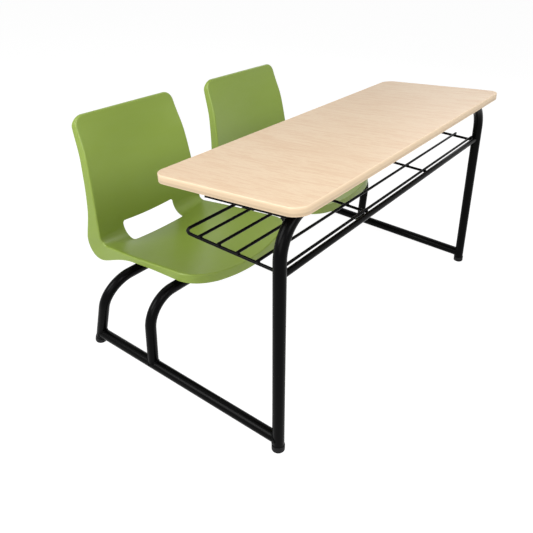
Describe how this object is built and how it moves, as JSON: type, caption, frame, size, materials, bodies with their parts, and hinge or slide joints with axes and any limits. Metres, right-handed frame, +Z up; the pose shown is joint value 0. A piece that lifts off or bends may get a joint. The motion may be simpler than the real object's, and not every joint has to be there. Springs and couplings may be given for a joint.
{
  "type": "double school desk",
  "caption": "Double school desk: sloping desktop with a wire book rack and moulded seat shells joined to it on one bent-tube frame.",
  "frame": {"origin": "on the floor, under the middle of the object's bounding box", "axes": "+Z up, +X along the desk, +Y towards the sitters' backs; the sitters face -Y"},
  "size_m": [1.416, 1.0054, 0.7539],
  "materials": {
    "steel_frame": "satin black powder coat",
    "green_plastic": "moulded, fine satin grain",
    "maple_laminate": "pale maple laminate, satin",
    "black_plastic": "moulded, satin",
    "zinc": "zinc plated"
  },
  "bodies": {
    "root": {"arm_cap_left": "black_plastic", "arm_cap_right": "black_plastic", "desk_arch": "steel_frame", "desktop": "maple_laminate", "desktop_screw_left_1": "zinc", "desktop_screw_left_2": "zinc", "desktop_screw_left_3": "zinc", "desktop_screw_right_1": "zinc", "desktop_screw_right_2": "zinc", "desktop_screw_right_3": "zinc", "foot_front_left": "black_plastic", "foot_front_right": "black_plastic", "foot_rear_left": "black_plastic", "foot_rear_right": "black_plastic", "rack_cross_wire_1": "steel_frame", "rack_cross_wire_2": "steel_frame", "rack_frame": "steel_frame", "rack_wire_1": "steel_frame", "rack_wire_2": "steel_frame", "rack_wire_3": "steel_frame", "rack_wire_4": "steel_frame", "rack_wire_5": "steel_frame", "seat_arch_front": "steel_frame", "seat_arch_rear": "steel_frame", "seat_screw_left_1": "zinc", "seat_screw_left_2": "zinc", "seat_screw_left_3": "zinc", "seat_screw_left_4": "zinc", "seat_screw_right_1": "zinc", "seat_screw_right_2": "zinc", "seat_screw_right_3": "zinc", "seat_screw_right_4": "zinc", "seat_shell_left": "green_plastic", "seat_shell_right": "green_plastic", "side_rail_left": "steel_frame", "side_rail_right": "steel_frame", "stretcher": "steel_frame", "top_arm_left": "steel_frame", "top_arm_right": "steel_frame"}
  },
  "joints": []
}
